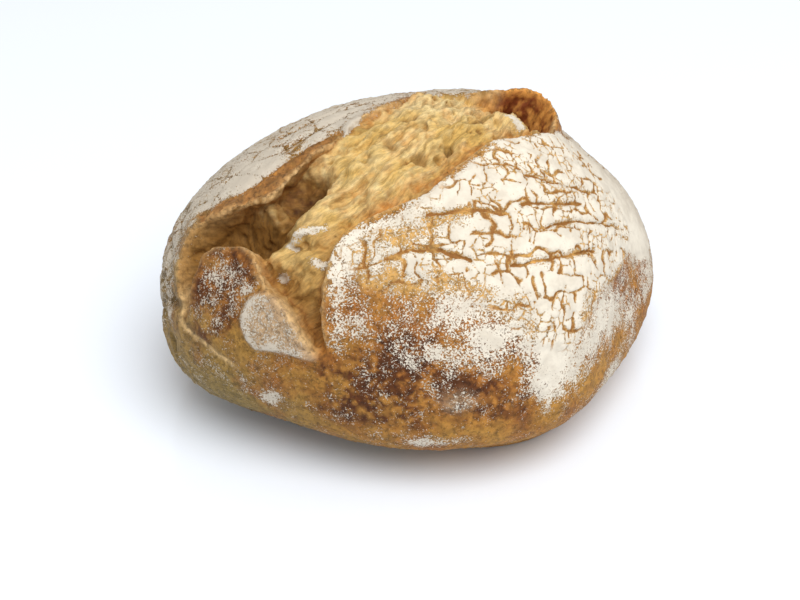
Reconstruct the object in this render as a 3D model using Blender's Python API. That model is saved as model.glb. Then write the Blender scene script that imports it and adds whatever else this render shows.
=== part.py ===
# Round country rye loaf with a torn split over its top, a curled ear, two small flaps and a cracked floury crust.
# It rests on the board at z = 0. +X is its long side, and +Y is the side with the unbroken back lobe.

import math

import bpy
import numpy as np

# Whole loaf: millimetres, from a centre on the widest level
PLAN_RADII = (107.5, 117.0, 93.0, 107.0, 132.0, 113.0, 107.0, 101.0)
WIDEST_LEVEL = 42.0
CROWN_RISE = 92.5
UNDERSIDE_DROP = 48.5
CROWN_SQUARENESS = 2.2
UNDERSIDE_SQUARENESS = 2.1
WAIST_BLEND = 0.8

# Straight underside: its slope from the board in degrees, at equal steps round the loaf, and its rounded foot
UNDERSIDE_SLOPES = (46.0, 42.0, 40.0, 44.0, 52.0, 41.0, 36.0, 54.0)
BASE_ROUNDING = 1.6

# Swells and slack places of the dough: azimuth, angle from the top, rise, width
SWELLS = (
    (20.0, 62.0, -14.0, 30.0),
    (75.0, 55.0, 5.5, 30.0),
    (-150.0, 80.0, 15.0, 26.0),
    (-20.0, 85.0, -9.5, 26.0),
    (42.0, 60.0, -5.0, 14.0),
    (18.0, 44.0, -1.5, 13.0),
    (20.0, 82.0, 3.0, 18.0),
    (-18.0, 100.0, 3.5, 20.0),
    (-52.0, 103.0, 1.0, 14.0),
    (-84.0, 104.0, -1.5, 10.0),
    (-137.0, 100.0, -5.0, 15.0),
    (-161.0, 81.0, -2.0, 14.0),
    (-171.0, 91.0, -2.5, 10.0),
    (65.0, 23.0, -3.0, 16.0),
    (73.0, 43.0, -1.5, 12.0),
    (165.0, 58.0, -3.5, 26.0),
)

# The crust is drawn as a map in degrees of arc: x to the right and y up, from a point high on the front
MAP_AZIMUTH = -90.0
MAP_POLAR = 56.0

# Edge of the split on the map, with the rise of the lip in millimetres and its roll over the split in degrees
SPLIT_EDGE = (
    (-61.0, -9.0, 0.0, 0.0),
    (-61.5, -1.0, 2.0, 0.8),
    (-63.0, 7.0, 3.0, 1.6),
    (-62.0, 16.0, 3.0, 2.6),
    (-53.0, 20.5, 3.0, 3.2),
    (-45.5, 22.5, 3.0, 3.2),
    (-42.5, 29.5, 3.5, 3.2),
    (-37.0, 39.0, 3.5, 2.6),
    (-31.0, 46.0, 3.0, 1.8),
    (-28.0, 53.0, 2.5, 1.2),
    (-18.0, 64.5, 1.5, 0.6),
    (-8.0, 75.0, 0.3, 0.2),
    (3.0, 81.0, 0.0, 0.0),
    (14.0, 79.0, 1.0, 0.2),
    (23.0, 78.0, 9.0, 1.2),
    (32.0, 80.5, 17.0, 2.8),
    (42.0, 76.5, 18.5, 3.4),
    (44.0, 66.0, 9.0, 2.4),
    (40.0, 56.0, 1.5, 0.6),
    (33.0, 53.0, 1.0, 0.2),
    (26.0, 48.0, 1.0, 0.5),
    (15.0, 44.0, 1.5, 0.8),
    (6.0, 35.0, 1.5, 0.8),
    (0.0, 28.0, 1.5, 0.8),
    (-6.0, 22.0, 1.5, 0.8),
    (-16.0, 18.0, 1.5, 0.8),
    (-26.0, 11.0, 1.5, 0.6),
    (-28.0, 2.0, 2.5, 0.4),
    (-29.0, -8.0, 2.5, 0.4),
    (-28.5, -18.0, 0.0, 0.0),
    (-33.0, -11.0, 3.0, 0.8),
    (-36.0, -5.0, 3.0, 0.8),
    (-41.5, 0.5, 2.5, 0.8),
    (-44.0, 8.5, 2.5, 0.8),
    (-55.0, 8.5, 2.5, 0.8),
    (-58.0, -1.0, 2.0, 0.4),
)
LIP_WIDTH = 3.6
WALL_WIDTH = 2.0
ROLL_WIDTH = 1.6
UNDERCUT = 1.2

# Torn crumb inside the split: general sinking, then hollows and swells.
# Each has x, y, half length, half width, turn and depth.
CRUMB_SINK = 4.0
CRUMB_FORMS = (
    (-51.0, 13.5, 11.0, 5.5, 5.0, 27.0),
    (-38.0, 26.0, 8.5, 4.5, 60.0, 17.0),
    (-59.0, 4.0, 9.0, 3.2, 85.0, 13.0),
    (-39.5, 0.5, 9.0, 2.5, -55.0, 6.0),
    (-31.5, -8.0, 8.0, 2.5, -65.0, 7.0),
    (-7.0, 48.0, 22.0, 16.0, 50.0, -5.5),
    (-31.0, 18.0, 8.0, 3.5, 42.0, -4.5),
    (-22.0, 34.0, 9.0, 3.0, 52.0, -3.0),
    (-24.0, 24.0, 7.0, 2.0, 46.0, 3.0),
    (-7.0, 36.0, 2.2, 1.8, 0.0, 5.0),
    (1.5, 42.0, 1.4, 1.6, 0.0, 4.0),
    (-16.0, 41.0, 1.8, 2.2, 0.0, 3.5),
    (-10.0, 54.0, 1.8, 2.0, 0.0, 3.5),
    (8.0, 60.0, 9.0, 2.2, 35.0, 2.5),
    (37.0, 73.0, 9.0, 5.0, -25.0, 7.0),
    (24.0, 63.5, 10.0, 4.5, -25.0, -4.5),
    (-8.0, 72.0, 11.0, 6.0, 0.0, -5.5),
    (-33.5, 11.5, 4.5, 1.4, -5.0, -1.8),
    (-33.0, 9.3, 4.5, 1.0, -5.0, 1.6),
)

# Strands of the torn crumb, and the smoother flake in front of the ear
CRUMB_ROUGHNESS = 1.9
STRAND_TURN = 48.0
STRAND_STRETCH = 3.4
SMOOTH_FLAKE = (26.0, 62.5, 9.0, 5.0, -28.0)

# Unevenness of every torn edge, in degrees
EDGE_RAGGEDNESS = 1.0

# Ground under the curled ear, lowered so that the ear stands over it: x, y, radius, depth
EAR_GROUND = (36.0, 80.0, 15.0, 9.0)

# Small pinched flap that lies over the crust: outline on the map, and its rise
SMALL_FLAP = (
    (-46.0, -8.0),
    (-44.0, -15.0),
    (-38.0, -15.5),
    (-29.0, -19.0),
    (-33.0, -11.0),
    (-36.0, -4.0),
    (-43.0, -2.0),
)
SMALL_FLAP_RISE = 3.2
SMALL_FLAP_EDGE = 1.8

# Torn band between the floury edge of the back lobe and the lip over the hollows: outline and drop
TORN_BAND = (
    (-62.5, 18.0),
    (-52.5, 24.5),
    (-47.5, 31.5),
    (-41.5, 40.0),
    (-33.0, 48.5),
    (-27.0, 48.0),
    (-36.0, 28.0),
    (-44.0, 14.0),
    (-60.0, 12.0),
)
TORN_BAND_DROP = 1.8
TORN_BAND_EDGE = 1.2

# Folds of the back lobe, and wide cracks of the floury crust: depth, half width, then points on the map
FOLDS = (
    (1.2, 0.9, ((-62.0, 19.5), (-52.5, 25.0), (-47.5, 32.0), (-41.5, 40.5), (-33.0, 48.5))),
    (3.0, 1.3, ((-84.0, -5.0), (-70.0, -3.0), (-61.0, -5.0))),
    (1.6, 1.2, ((-78.0, 16.0), (-69.0, 8.0), (-64.0, -1.0))),
    (1.5, 1.1, ((-86.0, 7.0), (-75.0, 3.0), (-66.0, -4.0))),
    (1.2, 1.0, ((-72.0, -6.0), (-68.0, -14.0), (-69.0, -21.0))),
    (1.2, 1.2, ((-61.0, -9.0), (-57.0, -13.0), (-50.0, -19.0))),
    (1.2, 1.0, ((-47.0, 41.0), (-40.0, 51.0), (-30.0, 62.0))),
    (1.0, 0.9, ((-52.0, 48.0), (-42.0, 60.0), (-24.0, 71.0))),
)
WIDE_CRACKS = (
    (1.1, 1.0, ((-14.0, 6.0), (-9.0, 8.0), (-3.0, 8.0), (6.0, 5.0))),
    (1.1, 1.2, ((-5.0, 17.0), (8.0, 18.5), (15.0, 18.0))),
    (1.1, 1.0, ((23.0, 31.0), (31.0, 30.0), (47.0, 30.0))),
    (1.1, 1.0, ((20.0, 21.0), (41.0, 24.0))),
    (1.1, 0.9, ((24.0, 14.0), (37.0, 18.0), (63.0, 21.0))),
    (1.1, 0.9, ((16.0, 4.0), (44.0, 10.0))),
    (1.0, 0.9, ((-20.0, 10.0), (-19.0, 4.0))),
)

# Plates of the floury crust: the field where it cracked, then the size of a plate in degrees and its cracks
FLOUR_FIELD = (
    (-27.0, 8.0),
    (-6.0, 21.0),
    (15.0, 43.0),
    (34.0, 52.0),
    (50.0, 58.0),
    (64.0, 42.0),
    (76.0, 22.0),
    (66.0, 6.0),
    (46.0, -4.0),
    (33.0, -19.0),
    (20.0, -16.0),
    (6.0, -5.0),
    (-20.0, -3.0),
)
PLATE_WIDTH = 4.6
PLATE_HEIGHT = 6.2
PLATE_ROW_SLOPE = 0.08
PLATE_SEED = 11
PLATE_CRACK_DEPTH = 1.0
PLATE_CRACK_HALF_WIDTH = 0.8

# Blister low on the front: x, y, radius, rise
BLISTER = (3.0, -28.0, 3.0, 1.6)

# Mesh: the ball's points are pulled towards the front, where the detail is
BALL_SUBDIVISIONS = 8
BALL_PULL = 0.65
VOXEL = 1.3
BASE_SNAP = 0.4
SHARE_OF_FACES = 0.051

# Crust
CRUST_COLOUR = (0.42, 0.25, 0.11, 1.0)
CRUST_ROUGHNESS = 0.75

MILLIMETRE = 0.001


def clear_scene():
    for old in list(bpy.data.objects):
        bpy.data.objects.remove(old, do_unlink=True)


def direction(azimuth, polar):
    """Unit vector at an azimuth and an angle from the top, in degrees."""
    a = math.radians(azimuth)
    t = math.radians(polar)
    return np.array((math.sin(t) * math.cos(a), math.sin(t) * math.sin(a), math.cos(t)))


MAP_MIDDLE = direction(MAP_AZIMUTH, MAP_POLAR)
MAP_RIGHT = np.array((1.0, 0.0, 0.0))
MAP_UP = np.cross(MAP_MIDDLE, MAP_RIGHT)


def map_of(directions):
    """Place of each direction on the crust map."""
    x = directions @ MAP_RIGHT
    y = directions @ MAP_UP
    arc = np.degrees(np.arccos(np.clip(directions @ MAP_MIDDLE, -1.0, 1.0)))
    scale = arc / np.maximum(np.hypot(x, y), 1e-9)
    return np.stack((x * scale, y * scale), axis=-1)


def directions_at(places):
    """Direction of each place on the crust map."""
    arc = np.hypot(places[:, 0], places[:, 1])
    turn = np.radians(arc)
    scale = (np.sin(turn) / np.maximum(arc, 1e-9))[:, None]
    sideways = places[:, :1] * MAP_RIGHT + places[:, 1:] * MAP_UP
    return np.cos(turn)[:, None] * MAP_MIDDLE + scale * sideways


def round_curve(azimuth, values):
    """Smooth curve round the loaf through values given at equal steps of azimuth."""
    count = len(values)
    waves = np.fft.rfft(values) / count
    curve = np.full_like(azimuth, waves[0].real)
    for order in range(1, count // 2 + 1):
        weight = 1.0 if order == count // 2 else 2.0
        wave = waves[order]
        curve += weight * (wave.real * np.cos(order * azimuth) - wave.imag * np.sin(order * azimuth))
    return curve


def underside_radius(rise, level, widest, slope):
    """Distance to the straight underside, which leaves the round profile where that has the same slope."""
    spread = 1.0 / np.tan(np.radians(slope))
    fall = (UNDERSIDE_DROP * spread / widest) ** (1.0 / (UNDERSIDE_SQUARENESS - 1.0))
    out = (1.0 + fall**UNDERSIDE_SQUARENESS) ** (-1.0 / UNDERSIDE_SQUARENESS)
    reach = widest * out + UNDERSIDE_DROP * fall * out * spread
    below = -rise * widest > level * UNDERSIDE_DROP * fall
    return np.where(below, reach / (level + np.abs(rise) * spread), 0.0)


def body_points(directions):
    """Points of the plain loaf, before the split, in millimetres from the board."""
    azimuth = np.arctan2(directions[:, 1], directions[:, 0])
    level = np.hypot(directions[:, 0], directions[:, 1])
    share = smooth_step(0.5 + directions[:, 2] / WAIST_BLEND)
    power = UNDERSIDE_SQUARENESS + (CROWN_SQUARENESS - UNDERSIDE_SQUARENESS) * share
    height = UNDERSIDE_DROP + (CROWN_RISE - UNDERSIDE_DROP) * share
    widest = round_curve(azimuth, PLAN_RADII)
    slope = round_curve(azimuth, UNDERSIDE_SLOPES)
    flat = (level / widest) ** power
    radius = (flat + (np.abs(directions[:, 2]) / height) ** power) ** (-1.0 / power)
    radius = np.maximum(radius, underside_radius(directions[:, 2], level, widest, slope))
    for swell_azimuth, swell_polar, rise, width in SWELLS:
        nearness = directions @ direction(swell_azimuth, swell_polar)
        away = np.degrees(np.arccos(np.clip(nearness, -1.0, 1.0)))
        radius += rise * np.exp(-((away / width) ** 2))
    points = directions * radius[:, None]
    points[:, 2] += WIDEST_LEVEL
    return points


def body_normals(directions):
    """Outward normals of the plain loaf, from small steps over it."""
    step = 0.004
    helper = np.where(np.abs(directions[:, 2:]) < 0.9, (0.0, 0.0, 1.0), (1.0, 0.0, 0.0))
    along = np.cross(helper, directions)
    along /= np.linalg.norm(along, axis=1, keepdims=True)
    across = np.cross(directions, along)

    def stepped(offset):
        moved = directions + offset
        return body_points(moved / np.linalg.norm(moved, axis=1, keepdims=True))

    first = stepped(step * along) - stepped(-step * along)
    second = stepped(step * across) - stepped(-step * across)
    normals = np.cross(first, second)
    return normals / np.linalg.norm(normals, axis=1, keepdims=True)


def nearest_on_line(places, line, closed):
    """Distance to a line on the map, the nearest place on it, and the values that its points carry."""
    line = np.array(line, dtype=float)
    ends = np.roll(line, -1, axis=0) if closed else line[1:]
    starts = line if closed else line[:-1]
    best = np.full(len(places), np.inf)
    found = np.zeros((len(places), line.shape[1]))
    for start, end in zip(starts, ends):
        step = end[:2] - start[:2]
        share = np.clip(((places - start[:2]) @ step) / (step @ step), 0.0, 1.0)[:, None]
        at = start + share * (end - start)
        away = np.hypot(places[:, 0] - at[:, 0], places[:, 1] - at[:, 1])
        closer = away < best
        best[closer] = away[closer]
        found[closer] = at[closer]
    return best, found


def softened(outline, rounds):
    """The same closed outline with its corners cut, a few times over."""
    corners = np.array(outline, dtype=float)
    for _ in range(rounds):
        ahead = np.roll(corners, -1, axis=0)
        corners = np.stack((0.78 * corners + 0.22 * ahead, 0.22 * corners + 0.78 * ahead), axis=1)
        corners = corners.reshape(-1, corners.shape[-1])
    return corners


def inside_outline(places, outline):
    """True for the places inside a closed outline on the map."""
    corners = np.array(outline, dtype=float)[:, :2]
    inside = np.zeros(len(places), dtype=bool)
    for (x0, y0), (x1, y1) in zip(corners, np.roll(corners, -1, axis=0)):
        if y0 == y1:
            continue
        spans = (places[:, 1] < y0) != (places[:, 1] < y1)
        crossing = x0 + (places[:, 1] - y0) * (x1 - x0) / (y1 - y0)
        inside ^= spans & (places[:, 0] < crossing)
    return inside


def smooth_step(value):
    value = np.clip(value, 0.0, 1.0)
    return value * value * (3.0 - 2.0 * value)


def oval(places, x, y, half_length, half_width, turn):
    """A soft round hump of height 1 on the map."""
    angle = math.radians(turn)
    dx = places[:, 0] - x
    dy = places[:, 1] - y
    along = (dx * math.cos(angle) + dy * math.sin(angle)) / half_length
    across = (dy * math.cos(angle) - dx * math.sin(angle)) / half_width
    return np.exp(-((along**2 + across**2) ** 1.5))


def uneven(points, wavelength, seed, count=24):
    """Smooth random unevenness of about -1 to 1."""
    random = np.random.default_rng(seed)
    total = np.zeros(len(points))
    for _ in range(count):
        wave = random.normal(size=3)
        wave *= 2.0 * math.pi / (wavelength * np.linalg.norm(wave) * random.uniform(0.7, 1.5))
        total += np.sin(points @ wave + random.uniform(0.0, 2.0 * math.pi))
    return total * math.sqrt(2.0 / count) * 0.6


def plate_crack_distance(places):
    """Distance in degrees from each place to the nearest crack between the plates, which lie in uneven rows."""
    jitter = np.random.default_rng(PLATE_SEED).uniform(-0.36, 0.36, size=(64, 64))
    flat = np.column_stack((places, np.zeros(len(places))))
    level = places[:, 1] - PLATE_ROW_SLOPE * places[:, 0]
    level = level + 1.9 * uneven(flat, 15.0, 21) + 0.7 * uneven(flat, 5.0, 22)
    row = np.floor(level / PLATE_HEIGHT).astype(int)
    row_away = np.abs(level / PLATE_HEIGHT - row - 0.5)
    row_away = (0.5 - row_away) * PLATE_HEIGHT
    across = (places[:, 0] + 1.5 * uneven(flat, 12.0, 23) + 0.6 * uneven(flat, 4.5, 24)) / PLATE_WIDTH
    across = across + jitter[row % 64, 7] * 2.0
    column = np.floor(across).astype(int)
    column_away = np.full(len(places), np.inf)
    for step in (-1, 0, 1, 2):
        line = column + step + jitter[row % 64, (column + step) % 64]
        column_away = np.minimum(column_away, np.abs(across - line) * PLATE_WIDTH)
    row_closed = np.maximum(2.2 * uneven(flat, 11.0, 25) - 0.5, 0.0)
    column_closed = np.maximum(2.0 * uneven(flat, 8.0, 26) - 0.4, 0.0)
    return np.minimum(row_away + row_closed, column_away + column_closed)


def crumb_depth(places):
    """How far the torn crumb lies under the plain loaf."""
    depth = np.full(len(places), CRUMB_SINK)
    for x, y, half_length, half_width, turn, sink in CRUMB_FORMS:
        depth += sink * oval(places, x, y, half_length, half_width, turn)
    return depth


def crumb_strands(points, places):
    """Torn strands that run along the split, with sharp crests and rounded furrows."""
    turn = math.radians(STRAND_TURN)
    along = places[:, 0] * math.cos(turn) + places[:, 1] * math.sin(turn)
    across = places[:, 1] * math.cos(turn) - places[:, 0] * math.sin(turn)
    flat = np.stack((along / STRAND_STRETCH, across, 0.0 * along), axis=1)
    crests = 1.1 - 1.9 * np.abs(uneven(flat, 8.0, 5)) - 0.6 * np.abs(uneven(flat, 4.0, 7))
    flake = oval(places, *SMOOTH_FLAKE)
    return (0.8 * crests + 0.6 * uneven(points, 11.0, 6)) * (1.0 - 0.85 * flake)


def crust_rise(places):
    """Rise of the crust over the plain loaf, without the lips of the split."""
    flap_away, _ = nearest_on_line(places, softened(SMALL_FLAP, 2), closed=True)
    flap_inside = np.where(inside_outline(places, softened(SMALL_FLAP, 2)), flap_away, -flap_away)
    rise = SMALL_FLAP_RISE * smooth_step(0.5 + flap_inside / SMALL_FLAP_EDGE)
    band_away, _ = nearest_on_line(places, TORN_BAND, closed=True)
    band_inside = np.where(inside_outline(places, TORN_BAND), band_away, -band_away)
    rise -= TORN_BAND_DROP * smooth_step(0.5 + band_inside / TORN_BAND_EDGE)
    for depth, half_width, line in FOLDS + WIDE_CRACKS:
        away, _ = nearest_on_line(places, line, closed=False)
        rise -= depth * np.exp(-((away / half_width) ** 2))
    field_away, _ = nearest_on_line(places, FLOUR_FIELD, closed=True)
    field = smooth_step(np.where(inside_outline(places, FLOUR_FIELD), field_away, 0.0) / 3.0)
    crack = plate_crack_distance(places)
    rise -= PLATE_CRACK_DEPTH * field * np.exp(-((crack / PLATE_CRACK_HALF_WIDTH) ** 2))
    x, y, radius, height = BLISTER
    rise += height * oval(places, x, y, radius, radius, 0.0)
    return rise


def loaf_points(directions):
    """Points of the loaf in millimetres: the plain loaf, opened at the split."""
    places = map_of(directions)
    round_points = directions * 100.0
    waver = [uneven(round_points, size, seed) for size, seed in ((14.0, 1), (14.0, 2), (5.0, 3), (5.0, 4))]
    shake = np.stack((waver[0] + 0.4 * waver[2], waver[1] + 0.4 * waver[3]), axis=1)
    places = places + EDGE_RAGGEDNESS * shake
    split = softened(SPLIT_EDGE, 1)
    away, edge = nearest_on_line(places, split, closed=True)
    outward = np.where(inside_outline(places, split), -away, away)
    lip = edge[:, 2]
    roll = edge[:, 3]

    # The lip rolls over the split, and the wall under it goes back
    heading = (places - edge[:, :2]) / np.where(np.abs(outward) < 1e-6, 1.0, outward)[:, None]
    over = np.exp(-(((outward - 0.5 * ROLL_WIDTH) / ROLL_WIDTH) ** 2))
    under = np.exp(-(((outward + ROLL_WIDTH) / ROLL_WIDTH) ** 2))
    rolled = roll * (over - UNDERCUT * under)
    base_directions = directions_at(places - heading * rolled[:, None])
    points = body_points(base_directions)
    normals = body_normals(base_directions)

    crust = crust_rise(places) + lip * np.exp(-((np.maximum(outward, 0.0) / LIP_WIDTH) ** 2))
    crumb = -crumb_depth(places) + CRUMB_ROUGHNESS * crumb_strands(points, places)
    x, y, radius, depth = EAR_GROUND
    ground = depth * oval(places, x, y, radius, radius, 0.0)
    open_share = smooth_step(0.5 - outward / WALL_WIDTH)
    height = crust * (1.0 - open_share) + crumb * open_share - ground
    points += normals * height[:, None]
    points[:, 2] = 0.5 * (points[:, 2] + np.hypot(points[:, 2], BASE_ROUNDING))
    return points


def mesh_points(mesh):
    points = np.empty(len(mesh.vertices) * 3, dtype=np.float32)
    mesh.vertices.foreach_get("co", points)
    return points.reshape(-1, 3).astype(float)


def pulled_forward(directions):
    """Directions drawn together round the middle of the map, evenly in every direction."""
    forward = (directions @ MAP_MIDDLE)[:, None]
    sideways = directions - forward * MAP_MIDDLE
    sideways *= BALL_PULL / np.maximum(1.0 + forward, 1e-9)
    square = (sideways**2).sum(axis=1, keepdims=True)
    pulled = (2.0 * sideways + (1.0 - square) * MAP_MIDDLE) / (1.0 + square)
    behind = forward < -0.999999
    return np.where(behind, directions, pulled)


def flatten_base(mesh):
    """Puts the lowest points exactly on the board, so that the loaf lies still on one flat face."""
    points = mesh_points(mesh)
    points[points[:, 2] < BASE_SNAP * MILLIMETRE, 2] = 0.0
    mesh.vertices.foreach_set("co", points.ravel())
    mesh.update()


def loaf_mesh():
    """Closed mesh of the loaf in metres, centred over its base."""
    bpy.ops.mesh.primitive_ico_sphere_add(subdivisions=BALL_SUBDIVISIONS, radius=1.0)
    loaf = bpy.context.object
    directions = mesh_points(loaf.data)
    directions /= np.linalg.norm(directions, axis=1, keepdims=True)
    points = loaf_points(pulled_forward(directions)) * MILLIMETRE
    middle = (points.min(axis=0) + points.max(axis=0)) / 2.0
    points[:, :2] -= middle[:2]
    loaf.data.vertices.foreach_set("co", points.ravel())
    loaf.data.update()

    even = loaf.modifiers.new("even_faces", "REMESH")
    even.mode = "VOXEL"
    even.voxel_size = VOXEL * MILLIMETRE
    bpy.ops.object.modifier_apply(modifier=even.name)
    flatten_base(loaf.data)
    fewer = loaf.modifiers.new("fewer_faces", "DECIMATE")
    fewer.ratio = SHARE_OF_FACES
    bpy.ops.object.modifier_apply(modifier=fewer.name)
    flatten_base(loaf.data)
    return loaf


def crust_material():
    material = bpy.data.materials.new("crust")
    material.use_nodes = True
    shader = material.node_tree.nodes["Principled BSDF"]
    shader.inputs["Base Color"].default_value = CRUST_COLOUR
    shader.inputs["Roughness"].default_value = CRUST_ROUGHNESS
    shader.inputs["Metallic"].default_value = 0.0
    material.diffuse_color = CRUST_COLOUR
    return material


def main():
    clear_scene()
    loaf = loaf_mesh()
    loaf.name = "loaf"
    loaf.data.name = "loaf"
    loaf.data.materials.append(crust_material())
    for face in loaf.data.polygons:
        face.use_smooth = True


main()
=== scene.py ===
import itertools
import math

import bpy
import numpy as np
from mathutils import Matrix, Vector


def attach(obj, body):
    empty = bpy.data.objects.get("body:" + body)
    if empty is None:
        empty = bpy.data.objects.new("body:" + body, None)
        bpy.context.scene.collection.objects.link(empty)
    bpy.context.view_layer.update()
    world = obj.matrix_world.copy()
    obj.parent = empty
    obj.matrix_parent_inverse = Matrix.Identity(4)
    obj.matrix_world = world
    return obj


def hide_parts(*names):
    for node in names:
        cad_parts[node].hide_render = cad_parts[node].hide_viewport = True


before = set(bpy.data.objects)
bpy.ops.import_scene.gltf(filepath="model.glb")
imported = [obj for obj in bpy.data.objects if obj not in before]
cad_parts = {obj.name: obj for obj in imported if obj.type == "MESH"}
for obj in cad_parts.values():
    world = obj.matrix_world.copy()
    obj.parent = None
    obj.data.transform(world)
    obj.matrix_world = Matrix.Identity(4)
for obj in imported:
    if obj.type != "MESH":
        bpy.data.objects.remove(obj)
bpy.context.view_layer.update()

# The loaf's form, as in the part: millimetres and degrees
PLAN_RADII = (107.5, 117.0, 93.0, 107.0, 132.0, 113.0, 107.0, 101.0)
WIDEST_LEVEL = 42.0
CROWN_RISE = 92.5
UNDERSIDE_DROP = 48.5
CROWN_SQUARENESS = 2.2
UNDERSIDE_SQUARENESS = 2.1
WAIST_BLEND = 0.8
UNDERSIDE_SLOPES = (46.0, 42.0, 40.0, 44.0, 52.0, 41.0, 36.0, 54.0)
BASE_ROUNDING = 1.6

# Swells and slack places of the dough: azimuth, polar angle, rise, width
SWELLS = (
    (20.0, 62.0, -14.0, 30.0),
    (75.0, 55.0, 5.5, 30.0),
    (-150.0, 80.0, 15.0, 26.0),
    (-20.0, 85.0, -9.5, 26.0),
    (42.0, 60.0, -5.0, 14.0),
    (18.0, 44.0, -1.5, 13.0),
    (20.0, 82.0, 3.0, 18.0),
    (-18.0, 100.0, 3.5, 20.0),
    (-52.0, 103.0, 1.0, 14.0),
    (-84.0, 104.0, -1.5, 10.0),
    (-137.0, 100.0, -5.0, 15.0),
    (-161.0, 81.0, -2.0, 14.0),
    (-171.0, 91.0, -2.5, 10.0),
    (65.0, 23.0, -3.0, 16.0),
    (73.0, 43.0, -1.5, 12.0),
    (165.0, 58.0, -3.5, 26.0),
)

# Middle of the crust map, whose places are given in degrees
MAP_AZIMUTH = -90.0
MAP_POLAR = 56.0

# Edge of the split: x, y, rise of the lip, roll of the lip
SPLIT_EDGE = (
    (-61.0, -9.0, 0.0, 0.0),
    (-61.5, -1.0, 2.0, 0.8),
    (-63.0, 7.0, 3.0, 1.6),
    (-62.0, 16.0, 3.0, 2.6),
    (-53.0, 20.5, 3.0, 3.2),
    (-45.5, 22.5, 3.0, 3.2),
    (-42.5, 29.5, 3.5, 3.2),
    (-37.0, 39.0, 3.5, 2.6),
    (-31.0, 46.0, 3.0, 1.8),
    (-28.0, 53.0, 2.5, 1.2),
    (-18.0, 64.5, 1.5, 0.6),
    (-8.0, 75.0, 0.3, 0.2),
    (3.0, 81.0, 0.0, 0.0),
    (14.0, 79.0, 1.0, 0.2),
    (23.0, 78.0, 9.0, 1.2),
    (32.0, 80.5, 17.0, 2.8),
    (42.0, 76.5, 18.5, 3.4),
    (44.0, 66.0, 9.0, 2.4),
    (40.0, 56.0, 1.5, 0.6),
    (33.0, 53.0, 1.0, 0.2),
    (26.0, 48.0, 1.0, 0.5),
    (15.0, 44.0, 1.5, 0.8),
    (6.0, 35.0, 1.5, 0.8),
    (0.0, 28.0, 1.5, 0.8),
    (-6.0, 22.0, 1.5, 0.8),
    (-16.0, 18.0, 1.5, 0.8),
    (-26.0, 11.0, 1.5, 0.6),
    (-28.0, 2.0, 2.5, 0.4),
    (-29.0, -8.0, 2.5, 0.4),
    (-28.5, -18.0, 0.0, 0.0),
    (-33.0, -11.0, 3.0, 0.8),
    (-36.0, -5.0, 3.0, 0.8),
    (-41.5, 0.5, 2.5, 0.8),
    (-44.0, 8.5, 2.5, 0.8),
    (-55.0, 8.5, 2.5, 0.8),
    (-58.0, -1.0, 2.0, 0.4),
)
LIP_WIDTH = 3.6
WALL_WIDTH = 2.0
ROLL_WIDTH = 1.6
UNDERCUT = 1.2
CRUMB_SINK = 4.0

# Hollows, humps and large pores of the crumb: x, y, half length, half width, turn, sink
CRUMB_FORMS = (
    (-51.0, 13.5, 11.0, 5.5, 5.0, 27.0),
    (-38.0, 26.0, 8.5, 4.5, 60.0, 17.0),
    (-59.0, 4.0, 9.0, 3.2, 85.0, 13.0),
    (-39.5, 0.5, 9.0, 2.5, -55.0, 6.0),
    (-31.5, -8.0, 8.0, 2.5, -65.0, 7.0),
    (-7.0, 48.0, 22.0, 16.0, 50.0, -5.5),
    (-31.0, 18.0, 8.0, 3.5, 42.0, -4.5),
    (-22.0, 34.0, 9.0, 3.0, 52.0, -3.0),
    (-24.0, 24.0, 7.0, 2.0, 46.0, 3.0),
    (-7.0, 36.0, 2.2, 1.8, 0.0, 5.0),
    (1.5, 42.0, 1.4, 1.6, 0.0, 4.0),
    (-16.0, 41.0, 1.8, 2.2, 0.0, 3.5),
    (-10.0, 54.0, 1.8, 2.0, 0.0, 3.5),
    (8.0, 60.0, 9.0, 2.2, 35.0, 2.5),
    (37.0, 73.0, 9.0, 5.0, -25.0, 7.0),
    (24.0, 63.5, 10.0, 4.5, -25.0, -4.5),
    (-8.0, 72.0, 11.0, 6.0, 0.0, -5.5),
    (-33.5, 11.5, 4.5, 1.4, -5.0, -1.8),
    (-33.0, 9.3, 4.5, 1.0, -5.0, 1.6),
)
CRUMB_ROUGHNESS = 1.9
STRAND_TURN = 48.0
STRAND_STRETCH = 3.4
SMOOTH_FLAKE = (26.0, 62.5, 9.0, 5.0, -28.0)
EDGE_RAGGEDNESS = 1.0
EAR_GROUND = (36.0, 80.0, 15.0, 9.0)
SMALL_FLAP = (
    (-46.0, -8.0),
    (-44.0, -15.0),
    (-38.0, -15.5),
    (-29.0, -19.0),
    (-33.0, -11.0),
    (-36.0, -4.0),
    (-43.0, -2.0),
)
SMALL_FLAP_RISE = 3.2
SMALL_FLAP_EDGE = 1.8
TORN_BAND = (
    (-62.5, 18.0),
    (-52.5, 24.5),
    (-47.5, 31.5),
    (-41.5, 40.0),
    (-33.0, 48.5),
    (-27.0, 48.0),
    (-36.0, 28.0),
    (-44.0, 14.0),
    (-60.0, 12.0),
)
TORN_BAND_DROP = 1.8
TORN_BAND_EDGE = 1.2

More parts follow.
